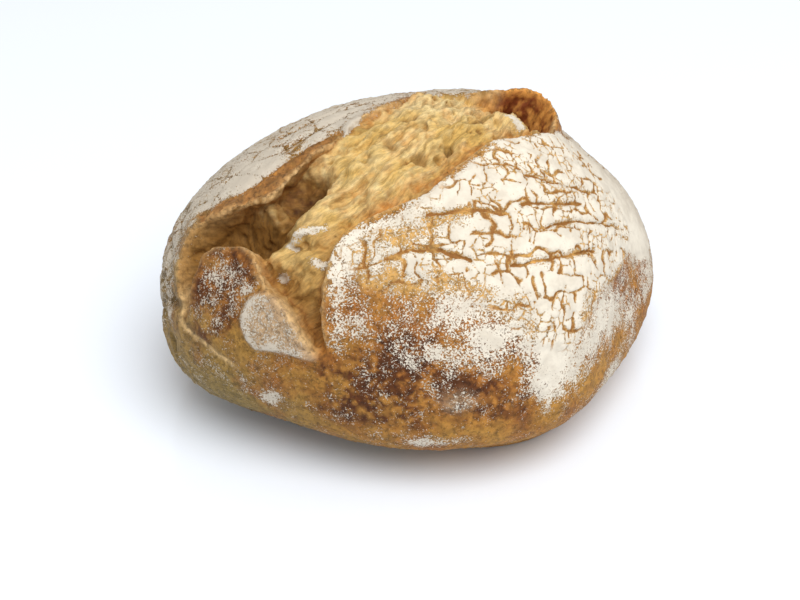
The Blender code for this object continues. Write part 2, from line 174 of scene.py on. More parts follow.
# Folds and wide cracks of the crust: depth, half width, line
FOLDS = (
    (1.2, 0.9, ((-62.0, 19.5), (-52.5, 25.0), (-47.5, 32.0), (-41.5, 40.5), (-33.0, 48.5))),
    (3.0, 1.3, ((-84.0, -5.0), (-70.0, -3.0), (-61.0, -5.0))),
    (1.6, 1.2, ((-78.0, 16.0), (-69.0, 8.0), (-64.0, -1.0))),
    (1.5, 1.1, ((-86.0, 7.0), (-75.0, 3.0), (-66.0, -4.0))),
    (1.2, 1.0, ((-72.0, -6.0), (-68.0, -14.0), (-69.0, -21.0))),
    (1.2, 1.2, ((-61.0, -9.0), (-57.0, -13.0), (-50.0, -19.0))),
    (1.2, 1.0, ((-47.0, 41.0), (-40.0, 51.0), (-30.0, 62.0))),
    (1.0, 0.9, ((-52.0, 48.0), (-42.0, 60.0), (-24.0, 71.0))),
)
WIDE_CRACKS = (
    (1.1, 1.0, ((-14.0, 6.0), (-9.0, 8.0), (-3.0, 8.0), (6.0, 5.0))),
    (1.1, 1.2, ((-5.0, 17.0), (8.0, 18.5), (15.0, 18.0))),
    (1.1, 1.0, ((23.0, 31.0), (31.0, 30.0), (47.0, 30.0))),
    (1.1, 1.0, ((20.0, 21.0), (41.0, 24.0))),
    (1.1, 0.9, ((24.0, 14.0), (37.0, 18.0), (63.0, 21.0))),
    (1.1, 0.9, ((16.0, 4.0), (44.0, 10.0))),
    (1.0, 0.9, ((-20.0, 10.0), (-19.0, 4.0))),
)

# Outlines of the floury zones on the map
FLOUR_FIELD = (
    (-27.0, 8.0),
    (-6.0, 21.0),
    (15.0, 43.0),
    (34.0, 52.0),
    (50.0, 58.0),
    (64.0, 42.0),
    (76.0, 22.0),
    (66.0, 6.0),
    (46.0, -4.0),
    (33.0, -19.0),
    (20.0, -16.0),
    (6.0, -5.0),
    (-20.0, -3.0),
)
THICK_FLOUR = (
    (-30.0, 13.0),
    (-6.0, 24.0),
    (15.0, 46.0),
    (34.0, 56.0),
    (60.0, 62.0),
    (84.0, 50.0),
    (98.0, 26.0),
    (92.0, 12.0),
    (68.0, 12.0),
    (50.0, 0.0),
    (36.0, -4.0),
    (12.0, -3.0),
    (-2.0, 3.0),
    (-20.0, 2.0),
    (-30.0, 2.0),
)
RIGHT_FLOUR = (
    (18.0, 2.0),
    (38.0, 2.0),
    (37.0, -14.0),
    (31.0, -24.0),
    (22.0, -19.0),
)
MIDDLE_FLOUR = (
    (-31.0, 10.0),
    (-30.0, -14.0),
    (-20.0, -17.0),
    (0.0, -22.0),
    (18.0, -22.0),
    (26.0, -36.0),
    (42.0, -28.0),
    (64.0, -18.0),
    (88.0, -8.0),
    (104.0, 8.0),
    (108.0, 40.0),
    (60.0, 70.0),
    (0.0, 30.0),
)
BACK_LOBE = (
    (-62.0, 12.0),
    (-66.0, -8.0),
    (-100.0, -14.0),
    (-130.0, 60.0),
    (-80.0, 120.0),
    (40.0, 130.0),
    (70.0, 96.0),
    (44.0, 70.0),
    (10.0, 72.0),
    (-30.0, 40.0),
)

# Patches of thicker or thinner flour: x, y, half length, half width, turn, change
FLOUR_PATCHES = (
    (-27.0, 0.0, 12.0, 2.5, 85.0, 0.45),
    (-13.0, -6.0, 9.0, 5.0, 0.0, -0.12),
    (-13.0, -14.0, 10.0, 6.0, 0.0, -0.13),
    (-9.0, 12.5, 9.0, 4.5, 10.0, -0.45),
    (-18.0, 3.0, 6.0, 8.0, 0.0, -0.26),
    (-51.0, 1.0, 8.0, 9.0, 0.0, 0.25),
    (-6.0, -25.0, 26.0, 10.0, 5.0, 0.12),
    (20.0, -24.0, 10.0, 8.0, 0.0, 0.08),
    (1.0, 15.5, 6.0, 3.2, 8.0, -0.45),
    (50.0, -10.0, 14.0, 6.0, 20.0, 0.25),
    (76.0, 5.0, 16.0, 9.0, 0.0, -0.04),
    (8.0, -9.0, 12.0, 7.0, 0.0, 0.14),
    (-44.0, 0.0, 2.0, 2.0, 0.0, 0.3),
    (56.0, 3.0, 7.0, 5.0, 0.0, -0.14),
    (-56.0, 28.0, 10.0, 7.0, 50.0, 0.15),
    (-36.0, 62.0, 14.0, 9.0, 60.0, 0.2),
    (-71.0, 7.0, 9.0, 9.0, 0.0, 0.1),
    (73.0, -17.0, 9.0, 9.0, 0.0, 0.26),
    (60.0, -32.0, 14.0, 8.0, 30.0, 0.32),
    (-44.0, -29.0, 4.0, 2.0, -10.0, 0.35),
    (3.0, -28.0, 3.5, 2.5, 0.0, 0.16),
    (30.0, -26.0, 9.0, 6.0, 0.0, 0.26),
    (40.0, -37.0, 7.0, 5.0, 0.0, 0.1),
    (-3.0, -41.0, 12.0, 2.5, 5.0, 0.3),
)

# How thick the flour lies in each zone, and two dusted places: x, y, half length, half width, turn
THIN_FLOUR = 0.17
MIDDLE_THICKNESS = 0.515
RIGHT_THICKNESS = 0.95
FIELD_THICKNESS = 0.97
LOBE_THICKNESS = 0.68
DUSTED_FRONT = (-60.0, -24.0, 18.0, 9.0, -20.0)
DUSTED_LEFT_END = (-82.0, 8.0, 22.0, 22.0, 0.0)

# Painted highlight: a pale line along the lit edge of the seam where the lobe is folded in at the left end of
# the split
FLAP_SEAM_HIGHLIGHT = ((-61.5, -1.0), (-62.0, -9.0), (-57.0, -13.0), (-50.0, -19.0))

# Floury flakes on the torn crumb and its back lip: x, y, half length, half width, turn, thickness
CRUMB_FLAKES = (
    (-32.8, 12.8, 5.2, 1.2, 26.0, 0.8),
    (-29.8, 5.0, 2.6, 1.5, -20.0, 0.75),
    (-37.1, 9.7, 2.0, 0.9, -16.0, 0.85),
    (-38.2, 2.1, 1.3, 1.1, 0.0, 1.0),
    (-29.5, 51.0, 5.5, 2.2, 75.0, 1.0),
    (-2.0, 84.0, 4.0, 3.0, 0.0, 0.6),
    (26.5, 60.0, 5.5, 1.9, -28.0, 0.85),
)

# Patches where the crust baked brown or dark: x, y, half length, half width, turn, share
BROWN_PATCHES = (
    (5.0, -18.0, 36.0, 18.0, 0.0, 0.9),
    (68.0, 0.0, 24.0, 20.0, 0.0, 0.75),
    (-50.0, 2.0, 9.0, 10.0, 0.0, 0.7),
    (-72.0, -22.0, 24.0, 20.0, 0.0, -0.5),
)
DARK_PATCHES = (
    (-16.0, -25.0, 13.0, 9.0, 20.0, 0.95),
    (4.0, -23.0, 28.0, 11.0, 0.0, 0.8),
    (-50.0, 2.0, 8.0, 9.0, 0.0, 0.6),
    (66.0, 0.0, 16.0, 12.0, 0.0, 0.3),
    (-54.0, -9.0, 8.0, 6.0, 0.0, 0.3),
)

# Single places with a look of their own, and places where shade or light is painted: x, y, half length, half
# width, turn
OLIVE_LEFT_END = (-80.0, 10.0, 28.0, 36.0, 0.0)
PALE_LEFT_END = (-80.0, 14.0, 26.0, 30.0, 0.0)
OLIVE_FRONT = (-62.0, -29.0, 25.0, 14.0, -12.0)
OLIVE_AND_SHADED_FOOT = (-50.0, -34.0, 46.0, 40.0, 0.0)
GREY_FRONT = (-52.0, -10.0, 24.0, 24.0, 0.0)
WRINKLED_END = (-76.0, 2.0, 16.0, 24.0, 0.0)
CRUMB_TOP_LIGHT = (-2.0, 68.0, 22.0, 14.0, 0.0)
CRUMB_BACK_EDGE = (2.0, 82.0, 26.0, 14.0, 0.0)
CRUMB_LEFT_EDGE = (-62.0, 6.0, 12.0, 16.0, 0.0)
CRUMB_LENS = (26.0, 60.5, 6.5, 2.6, -28.0)
CRUMB_SKIN = (-32.0, 4.0, 7.0, 14.0, 10.0)
LEFT_HOLLOW_SHADE = (-58.0, 5.0, 7.0, 13.0, 0.0)
LEFT_WALL_SHADE = (-61.0, 6.0, 9.0, 16.0, 0.0)
LEFT_RIM = (-62.0, 6.0, 9.0, 15.0, 0.0)
POCKET_SHADE = (-39.5, 27.0, 6.0, 6.5, 0.0)
EAR = (36.0, 73.0, 12.0, 12.0, 0.0)
GOLDEN_WALL = (21.0, 73.5, 10.0, 6.0, 0.0)
PORE_LENGTH = 2.5

# Plates, blister and form ball, as in the part
PLATE_WIDTH = 4.6
PLATE_HEIGHT = 6.2
PLATE_ROW_SLOPE = 0.08
PLATE_SEED = 11
BLISTER = (3.0, -28.0, 3.0, 1.6)
BALL_SUBDIVISIONS = 8
BALL_PULL = 0.65

# Fine mesh
VOXEL = 0.85
MOST_TRIANGLES = 192000
BASE_SNAP = 0.4
MILLIMETRE = 0.001
MILLIMETRES_A_DEGREE = 1.9

# Colours of crust, crumb and flour, set beside the photo, as 8-bit values
# Some of these colours also paint shade in hollows, pores, cracks and under lips, and a highlight on lip rims
# and one seam
COLOUR = {
    "gold": (170, 123, 52),
    "brown": (156, 98, 40),
    "dark_brown": (84, 44, 12),
    "olive": (142, 119, 66),
    "low_olive": (100, 80, 38),
    "ochre": (200, 156, 90),
    "crack_and_shade_line": (142, 94, 44),
    "crumb": (206, 168, 94),
    "crumb_pale": (230, 206, 150),
    "crumb_toast": (186, 126, 58),
    "pore_shade": (146, 110, 58),
    "hollow_shade": (148, 106, 50),
    "ear": (122, 60, 24),
    "ear_wall": (206, 144, 70),
    "pale_rim_highlight": (212, 176, 122),
    "torn": (134, 92, 50),
    "flap": (184, 156, 124),
    "skin": (186, 148, 84),
    "flour": (231, 222, 205),
    "flour_grey": (198, 187, 170),
}

# Noises of the materials: scale, detail and roughness
PATCHES = (110.0, 3.0, 0.6)
SPECKS = (1200.0, 4.0, 0.7)
GRAIN = (1500.0, 2.0, 0.6)
FIBRES = (0.5, 5.0, 0.75)
MOTTLE = (300.0, 4.0, 0.65)
FLECKS = (480.0, 5.0, 0.75)
FLOOR_HAZE = (6.0, 2.0, 0.5)
BUMP_STRENGTH = 0.7
BUMP_DISTANCE = 0.0007
CRUST_SPECULAR = 0.22
FLOOR_SPECULAR = 0.5

# Camera, fitted to the photo's outline
CAMERA_ELEVATION = 33.0
CAMERA_DISTANCE = 0.85
CAMERA_LENS = 79.245
CAMERA_AIM = (-0.00585, 0.0, 0.03825)

# Studio: a large soft light above the front, a white world and a pale floor, in metres and watts
LIGHT_PLACE = (0.45, -1.0, 1.92)
LIGHT_AIM = (0.0, 0.0, 0.05)
LIGHT_SIZE = 1.9
LIGHT_POWER = 41.0
WORLD_STRENGTH = 0.66
FLOOR_COLOUR = (0.88, 0.93, 1.0, 1.0)
FLOOR_SIZE = 8.0
FLOOR_GAP = 0.0002


def direction(azimuth, polar):
    a = math.radians(azimuth)
    t = math.radians(polar)
    return np.array((math.sin(t) * math.cos(a), math.sin(t) * math.sin(a), math.cos(t)))


MAP_MIDDLE = direction(MAP_AZIMUTH, MAP_POLAR)
MAP_RIGHT = np.array((1.0, 0.0, 0.0))
MAP_UP = np.cross(MAP_MIDDLE, MAP_RIGHT)


def map_of(directions):
    x = directions @ MAP_RIGHT
    y = directions @ MAP_UP
    arc = np.degrees(np.arccos(np.clip(directions @ MAP_MIDDLE, -1.0, 1.0)))
    scale = arc / np.maximum(np.hypot(x, y), 1e-9)
    return np.stack((x * scale, y * scale), axis=-1)


def directions_at(places):
    arc = np.hypot(places[:, 0], places[:, 1])
    turn = np.radians(arc)
    scale = (np.sin(turn) / np.maximum(arc, 1e-9))[:, None]
    sideways = places[:, :1] * MAP_RIGHT + places[:, 1:] * MAP_UP
    return np.cos(turn)[:, None] * MAP_MIDDLE + scale * sideways


def round_curve(azimuth, values):
    """Smooth curve round the loaf through values given at equal steps of azimuth."""
    count = len(values)
    waves = np.fft.rfft(values) / count
    curve = np.full_like(azimuth, waves[0].real)
    for order in range(1, count // 2 + 1):
        weight = 1.0 if order == count // 2 else 2.0
        wave = waves[order]
        curve += weight * (wave.real * np.cos(order * azimuth) - wave.imag * np.sin(order * azimuth))
    return curve


def smooth_step(value):
    value = np.clip(value, 0.0, 1.0)
    return value * value * (3.0 - 2.0 * value)


def underside_radius(rise, level, widest, slope):
    """Distance to the straight underside, which leaves the round profile where that has the same slope."""
    spread = 1.0 / np.tan(np.radians(slope))
    fall = (UNDERSIDE_DROP * spread / widest) ** (1.0 / (UNDERSIDE_SQUARENESS - 1.0))
    out = (1.0 + fall**UNDERSIDE_SQUARENESS) ** (-1.0 / UNDERSIDE_SQUARENESS)
    reach = widest * out + UNDERSIDE_DROP * fall * out * spread
    below = -rise * widest > level * UNDERSIDE_DROP * fall
    return np.where(below, reach / (level + np.abs(rise) * spread), 0.0)


def body_points(directions):
    azimuth = np.arctan2(directions[:, 1], directions[:, 0])
    level = np.hypot(directions[:, 0], directions[:, 1])
    share = smooth_step(0.5 + directions[:, 2] / WAIST_BLEND)
    power = UNDERSIDE_SQUARENESS + (CROWN_SQUARENESS - UNDERSIDE_SQUARENESS) * share
    height = UNDERSIDE_DROP + (CROWN_RISE - UNDERSIDE_DROP) * share
    widest = round_curve(azimuth, PLAN_RADII)
    slope = round_curve(azimuth, UNDERSIDE_SLOPES)
    flat = (level / widest) ** power
    radius = (flat + (np.abs(directions[:, 2]) / height) ** power) ** (-1.0 / power)
    radius = np.maximum(radius, underside_radius(directions[:, 2], level, widest, slope))
    for swell_azimuth, swell_polar, rise, width in SWELLS:
        away = np.degrees(np.arccos(np.clip(directions @ direction(swell_azimuth, swell_polar), -1.0, 1.0)))
        radius += rise * np.exp(-((away / width) ** 2))
    points = directions * radius[:, None]
    points[:, 2] += WIDEST_LEVEL
    return points


def body_normals(directions):
    step = 0.004
    helper = np.where(np.abs(directions[:, 2:]) < 0.9, (0.0, 0.0, 1.0), (1.0, 0.0, 0.0))
    along = np.cross(helper, directions)
    along /= np.linalg.norm(along, axis=1, keepdims=True)
    across = np.cross(directions, along)

    def stepped(offset):
        moved = directions + offset
        return body_points(moved / np.linalg.norm(moved, axis=1, keepdims=True))

    first = stepped(step * along) - stepped(-step * along)
    second = stepped(step * across) - stepped(-step * across)
    normals = np.cross(first, second)
    return normals / np.linalg.norm(normals, axis=1, keepdims=True)


def nearest_on_line(places, line, closed):
    line = np.array(line, dtype=float)
    ends = np.roll(line, -1, axis=0) if closed else line[1:]
    starts = line if closed else line[:-1]
    best = np.full(len(places), np.inf)
    found = np.zeros((len(places), line.shape[1]))
    for start, end in zip(starts, ends):
        step = end[:2] - start[:2]
        share = np.clip(((places - start[:2]) @ step) / (step @ step), 0.0, 1.0)[:, None]
        at = start + share * (end - start)
        away = np.hypot(places[:, 0] - at[:, 0], places[:, 1] - at[:, 1])
        closer = away < best
        best[closer] = away[closer]
        found[closer] = at[closer]
    return best, found


def softened(outline, rounds):
    """The same closed outline with its corners cut, a few times over."""
    corners = np.array(outline, dtype=float)
    for _ in range(rounds):
        ahead = np.roll(corners, -1, axis=0)
        corners = np.stack((0.78 * corners + 0.22 * ahead, 0.22 * corners + 0.78 * ahead), axis=1)
        corners = corners.reshape(-1, corners.shape[-1])
    return corners


def inside_outline(places, outline):
    corners = np.array(outline, dtype=float)[:, :2]
    inside = np.zeros(len(places), dtype=bool)
    for (x0, y0), (x1, y1) in zip(corners, np.roll(corners, -1, axis=0)):
        if y0 == y1:
            continue
        spans = (places[:, 1] < y0) != (places[:, 1] < y1)
        crossing = x0 + (places[:, 1] - y0) * (x1 - x0) / (y1 - y0)
        inside ^= spans & (places[:, 0] < crossing)
    return inside


def oval(places, x, y, half_length, half_width, turn):
    angle = math.radians(turn)
    dx = places[:, 0] - x
    dy = places[:, 1] - y
    along = (dx * math.cos(angle) + dy * math.sin(angle)) / half_length
    across = (dy * math.cos(angle) - dx * math.sin(angle)) / half_width
    return np.exp(-((along**2 + across**2) ** 1.5))


def patchy(places, patches):
    """Sum of soft ovals, each with its own strength."""
    return sum(strength * oval(places, *patch) for *patch, strength in patches)


def uneven(points, wavelength, seed, count=24):
    random = np.random.default_rng(seed)
    total = np.zeros(len(points))
    for _ in range(count):
        wave = random.normal(size=3)
        wave *= 2.0 * math.pi / (wavelength * np.linalg.norm(wave) * random.uniform(0.7, 1.5))
        total += np.sin(points @ wave + random.uniform(0.0, 2.0 * math.pi))
    return total * math.sqrt(2.0 / count) * 0.6


def plate_crack_distance(places):
    """Degrees from each place to the nearest crack between the plates, which lie in uneven rows."""
    jitter = np.random.default_rng(PLATE_SEED).uniform(-0.36, 0.36, size=(64, 64))
    flat = np.column_stack((places, np.zeros(len(places))))
    level = places[:, 1] - PLATE_ROW_SLOPE * places[:, 0]
    level = level + 1.9 * uneven(flat, 15.0, 21) + 0.7 * uneven(flat, 5.0, 22)
    row = np.floor(level / PLATE_HEIGHT).astype(int)
    row_away = np.abs(level / PLATE_HEIGHT - row - 0.5)
    row_away = (0.5 - row_away) * PLATE_HEIGHT
    across = (places[:, 0] + 1.5 * uneven(flat, 12.0, 23) + 0.6 * uneven(flat, 4.5, 24)) / PLATE_WIDTH
    across = across + jitter[row % 64, 7] * 2.0
    column = np.floor(across).astype(int)
    column_away = np.full(len(places), np.inf)
    for step in (-1, 0, 1, 2):
        line = column + step + jitter[row % 64, (column + step) % 64]
        column_away = np.minimum(column_away, np.abs(across - line) * PLATE_WIDTH)
    row_closed = np.maximum(2.2 * uneven(flat, 11.0, 25) - 0.5, 0.0)
    column_closed = np.maximum(2.0 * uneven(flat, 8.0, 26) - 0.4, 0.0)
    return np.minimum(row_away + row_closed, column_away + column_closed)


def cell_edge_distance(places, seed, width, height):
    """Distance in degrees from each place to the nearest edge between uneven cells."""
    jitter = np.random.default_rng(seed).uniform(0.12, 0.88, size=(32, 32, 2))
    size = np.array((width, height))
    cell = np.floor(places / size).astype(int)
    near = np.full(len(places), np.inf)
    middle = np.zeros_like(places)
    centres = []
    for i, j in itertools.product(range(-2, 3), repeat=2):
        column = cell[:, 0] + i
        row = cell[:, 1] + j
        centre = (np.stack((column, row), axis=1) + jitter[column % 32, row % 32]) * size
        away = ((centre - places) ** 2).sum(axis=1)
        closer = away < near
        near[closer] = away[closer]
        middle[closer] = centre[closer]
        centres.append(centre)
    edge = np.full(len(places), np.inf)
    for centre in centres:
        step = centre - middle
        length = np.linalg.norm(step, axis=1)
        other = length > 1e-6
        halfway = ((centre + middle) / 2.0 - places) * step
        distance = halfway.sum(axis=1)[other] / length[other]
        edge[other] = np.minimum(edge[other], distance)
    return edge


def crumb_depth(places):
    depth = np.full(len(places), CRUMB_SINK)
    for x, y, half_length, half_width, turn, sink in CRUMB_FORMS:
        depth += sink * oval(places, x, y, half_length, half_width, turn)
    return depth


def crumb_strands(points, places):
    """Torn strands that run along the split, with sharp crests and rounded furrows."""
    turn = math.radians(STRAND_TURN)
    along = places[:, 0] * math.cos(turn) + places[:, 1] * math.sin(turn)
    across = places[:, 1] * math.cos(turn) - places[:, 0] * math.sin(turn)
    flat = np.stack((along / STRAND_STRETCH, across, 0.0 * along), axis=1)
    crests = 1.1 - 1.9 * np.abs(uneven(flat, 8.0, 5)) - 0.6 * np.abs(uneven(flat, 4.0, 7))
    flake = oval(places, *SMOOTH_FLAKE)
    return (0.8 * crests + 0.6 * uneven(points, 11.0, 6)) * (1.0 - 0.85 * flake)


def edge_share(places, outline, width):
    """Soft share of 1 inside a closed outline, and the distance inside it."""
    away, _ = nearest_on_line(places, outline, closed=True)
    inside = np.where(inside_outline(places, outline), away, -away)
    return smooth_step(0.5 + inside / width), inside


def wavered(directions):
    """Places on the crust map, shaken so that every torn edge is ragged."""
    places = map_of(directions)
    round_points = directions * 100.0
    waver = [uneven(round_points, size, seed) for size, seed in ((14.0, 1), (14.0, 2), (5.0, 3), (5.0, 4))]
    shake = np.stack((waver[0] + 0.4 * waver[2], waver[1] + 0.4 * waver[3]), axis=1)
    return places + EDGE_RAGGEDNESS * shake


def loaf_points(directions):
    """The part's form without its plates of flour, which are made finer below."""
    places = wavered(directions)
    split = softened(SPLIT_EDGE, 1)
    away, edge = nearest_on_line(places, split, closed=True)
    outward = np.where(inside_outline(places, split), -away, away)
    lip = edge[:, 2]
    roll = edge[:, 3]
    heading = (places - edge[:, :2]) / np.where(np.abs(outward) < 1e-6, 1.0, outward)[:, None]
    over = np.exp(-(((outward - 0.5 * ROLL_WIDTH) / ROLL_WIDTH) ** 2))
    under = np.exp(-(((outward + ROLL_WIDTH) / ROLL_WIDTH) ** 2))
    rolled = roll * (over - UNDERCUT * under)
    base_directions = directions_at(places - heading * rolled[:, None])
    points = body_points(base_directions)
    normals = body_normals(base_directions)
    flap, _ = edge_share(places, softened(SMALL_FLAP, 2), SMALL_FLAP_EDGE)
    band, _ = edge_share(places, TORN_BAND, TORN_BAND_EDGE)
    crust = SMALL_FLAP_RISE * flap - TORN_BAND_DROP * band
    for depth, half_width, line in FOLDS + WIDE_CRACKS:
        line_away, _ = nearest_on_line(places, line, closed=False)
        crust -= depth * np.exp(-((line_away / half_width) ** 2))
    x, y, radius, rise = BLISTER
    crust += rise * oval(places, x, y, radius, radius, 0.0)
    crust += lip * np.exp(-((np.maximum(outward, 0.0) / LIP_WIDTH) ** 2))
    crumb = -crumb_depth(places) + CRUMB_ROUGHNESS * crumb_strands(points, places)
    x, y, radius, depth = EAR_GROUND
    ground = depth * oval(places, x, y, radius, radius, 0.0)
    open_share = smooth_step(0.5 - outward / WALL_WIDTH)
    height = crust * (1.0 - open_share) + crumb * open_share - ground
    points += normals * height[:, None]
    points[:, 2] = 0.5 * (points[:, 2] + np.hypot(points[:, 2], BASE_ROUNDING))
    return points


def pulled_forward(directions):
    forward = (directions @ MAP_MIDDLE)[:, None]
    sideways = directions - forward * MAP_MIDDLE
    sideways *= BALL_PULL / np.maximum(1.0 + forward, 1e-9)
    square = (sideways**2).sum(axis=1, keepdims=True)
    pulled = (2.0 * sideways + (1.0 - square) * MAP_MIDDLE) / (1.0 + square)
    return np.where(forward < -0.999999, directions, pulled)


# Fine relief


def lattice_noise(points, size, seed):
    """Smooth noise of about -1 to 1, with bumps of about that size."""
    scaled = points / size
    cell = np.floor(scaled).astype(np.int64)
    local = scaled - cell
    fade = local**3 * (local * (local * 6.0 - 15.0) + 10.0)
    random = np.random.default_rng(seed)
    table = np.tile(random.permutation(256), 2)
    slopes = random.normal(size=(256, 3))
    slopes /= np.linalg.norm(slopes, axis=1, keepdims=True)
    total = np.zeros(len(points))
    for corner in itertools.product((0, 1), repeat=3):
        place = (cell + corner) & 255
        key = table[table[table[place[:, 0]] + place[:, 1]] + place[:, 2]]
        value = (slopes[key] * (local - corner)).sum(axis=1)
        weight = np.where(np.array(corner) == 1, fade, 1.0 - fade).prod(axis=1)
        total += value * weight
    return total * 1.7


def cloudy(points, size, seed, octaves=3, keep=0.5):
    total = np.zeros(len(points))
    strength = 1.0
    for octave in range(octaves):
        total += strength * lattice_noise(points, size / 2.0**octave, seed + octave)
        strength *= keep
    return total


def bubble_distance(points, size, seed):
    """Distance to the nearest of unevenly spread bubble centres, in bubble spacings."""
    scaled = points / size
    cell = np.floor(scaled).astype(np.int64)
    jitter = np.random.default_rng(seed).uniform(0.0, 1.0, size=(16, 16, 16, 3))
    best = np.full(len(points), np.inf)
    for step in itertools.product((-1, 0, 1), repeat=3):
        place = cell + step
        key = place % 16
        centre = place + jitter[key[:, 0], key[:, 1], key[:, 2]]
        best = np.minimum(best, ((centre - scaled) ** 2).sum(axis=1))
    return np.sqrt(best)


def mesh_points(mesh, what="co"):
    source = mesh.vertices if what == "co" else mesh.vertex_normals
    values = np.empty(len(source) * 3, dtype=np.float32)
    source.foreach_get("co" if what == "co" else "vector", values)
    return values.reshape(-1, 3).astype(float)


def set_points(mesh, points):
    mesh.vertices.foreach_set("co", points.astype(np.float32).ravel())
    mesh.update()


def apply_modifier(thing, name, kind, **settings):
    modifier = thing.modifiers.new(name, kind)
    for key, value in settings.items():
        setattr(modifier, key, value)
    bpy.context.view_layer.objects.active = thing
    bpy.ops.object.modifier_apply(modifier=modifier.name)


def form_ball():
    """A ball of even triangles moved to the loaf's form, and the direction that each point came from."""
    bpy.ops.mesh.primitive_ico_sphere_add(subdivisions=BALL_SUBDIVISIONS, radius=1.0)
    ball = bpy.context.object
    ball.name = "form_ball"
    directions = mesh_points(ball.data)
    directions /= np.linalg.norm(directions, axis=1, keepdims=True)
    directions = pulled_forward(directions)
    points = loaf_points(directions) * MILLIMETRE
    middle = (points.min(axis=0) + points.max(axis=0)) / 2.0
    points[:, :2] -= middle[:2]
    set_points(ball.data, points)
    return ball, directions


def directions_on(ball, directions, points):
    """The source direction of each point that lies on or near the ball's surface."""
    corners = np.empty(len(ball.data.polygons) * 3, dtype=np.int32)
    ball.data.polygons.foreach_get("vertices", corners)
    corners = corners.reshape(-1, 3)
    faces = np.empty(len(points), dtype=np.int64)
    places = np.empty((len(points), 3))
    for index, point in enumerate(points):
        _, location, _, face = ball.closest_point_on_mesh(point)
        faces[index] = face
        places[index] = location
    ball_points = mesh_points(ball.data)
    a, b, c = (ball_points[corners[faces, k]] for k in range(3))
    normal = np.cross(b - a, c - a)
    area = np.maximum((normal**2).sum(axis=1), 1e-30)
    share_b = (np.cross(places - a, c - a) * normal).sum(axis=1) / area
    share_c = (np.cross(b - a, places - a) * normal).sum(axis=1) / area
    shares = np.clip(np.stack((1.0 - share_b - share_c, share_b, share_c), axis=1), 0.0, 1.0)
    found = sum(directions[corners[faces, k]] * shares[:, k : k + 1] for k in range(3))
    return found / np.linalg.norm(found, axis=1, keepdims=True)


def ridged(points, size, seed):
    """Noise with sharp crests, of about -1 to 1."""
    return 1.0 - 3.4 * np.abs(lattice_noise(points, size, seed))


def crumb_relief(zones):
    """Torn strands, flakes and pores of the crumb."""
    points = zones.points
    bent = zones.strand + 2.4 * np.stack([lattice_noise(points, 10.0, seed) for seed in (54, 55, 56)], axis=1)
    crumb = 0.9 * ridged(bent, 8.0, 51) + 0.42 * ridged(bent, 3.2, 52)
    crumb += 0.5 * cloudy(points, 5.0, 59, 3, 0.55)
    pores = bubble_distance(points + 3.0, 8.0, 53)
    small_pores = bubble_distance(points, 3.4, 57)
    crumb -= 2.4 * smooth_step(1.0 - pores / 0.36)
    crumb -= 0.7 * smooth_step(1.0 - small_pores / 0.4)
    return crumb * (1.0 - 0.85 * oval(zones.places, *CRUMB_LENS))


class Zones:
    """Where each point of the crust lies: in the split, on a lip, in the flour field and so on."""

    def __init__(self, directions, points):
        self.plain = map_of(directions)
        self.places = wavered(directions)
        self.points = points / MILLIMETRE
        split = softened(SPLIT_EDGE, 1)
        away, edge = nearest_on_line(self.places, split, closed=True)
        self.outward = np.where(inside_outline(self.places, split), -away, away)
        self.lip = edge[:, 2]
        self.open_share = smooth_step(0.5 - self.outward / WALL_WIDTH)
        self.depth = crumb_depth(self.places) * self.open_share
        field_away, _ = nearest_on_line(self.places, FLOUR_FIELD, closed=True)
        self.field = smooth_step(np.where(inside_outline(self.places, FLOUR_FIELD), field_away, 0.0) / 3.0)
        shake = np.stack([cloudy(self.points, 7.0, seed) for seed in (31, 37)], axis=1)
        shaken = self.places + 0.5 * shake
        self.crack = plate_crack_distance(shaken)
        self.wide_away = np.full(len(points), np.inf)
        self.fine_crack = cell_edge_distance(shaken + 60.0, 12, 2.1, 3.4)
        for _, half_width, line in WIDE_CRACKS:
            line_away, _ = nearest_on_line(shaken, line, closed=False)
            self.crack = np.minimum(self.crack, np.maximum(line_away - 0.2 * half_width, 0.0))
            self.wide_away = np.minimum(self.wide_away, line_away)
        self.crack *= 0.95 + 0.65 * cloudy(self.points, 8.0, 43, 2, 0.6)
        self.flap, self.flap_inside = edge_share(self.places, softened(SMALL_FLAP, 2), SMALL_FLAP_EDGE)
        self.band, _ = edge_share(self.places, TORN_BAND, TORN_BAND_EDGE)
        turn = math.radians(STRAND_TURN)
        along = self.places[:, 0] * math.cos(turn) + self.places[:, 1] * math.sin(turn)
        across = self.places[:, 1] * math.cos(turn) - self.places[:, 0] * math.sin(turn)
        self.strand = np.stack((along / 4.5, across, 0.15 * self.points[:, 2]), axis=1) * MILLIMETRES_A_DEGREE
        self.wrinkle = np.zeros(len(points))
        for _, half_width, line in FOLDS[1:]:
            line_away, _ = nearest_on_line(self.places, line, closed=False)
            self.wrinkle = np.maximum(self.wrinkle, np.exp(-((line_away / half_width) ** 2)))
        level = self.points[:, 2] + 8.0 * cloudy(self.points, 24.0, 47)
        behind = smooth_step((self.points[:, 1] - 5.0) / 40.0)
        lobe, _ = edge_share(self.plain, BACK_LOBE, 14.0)
        lobe *= np.maximum(1.0 - behind, smooth_step((level - 20.0) / 30.0))
        self.lobe = np.maximum(lobe, behind * smooth_step((level - 30.0) / 34.0))
        self.behind = behind
        turned = np.stack((shaken @ (0.82, 0.57), shaken @ (-0.57, 0.82)), axis=1)
        self.lobe_crack = cell_edge_distance(turned + 200.0, 17, 13.0, 5.0)
        self.fine_present = smooth_step(0.75 + 1.6 * lattice_noise(self.points, 16.0, 41))


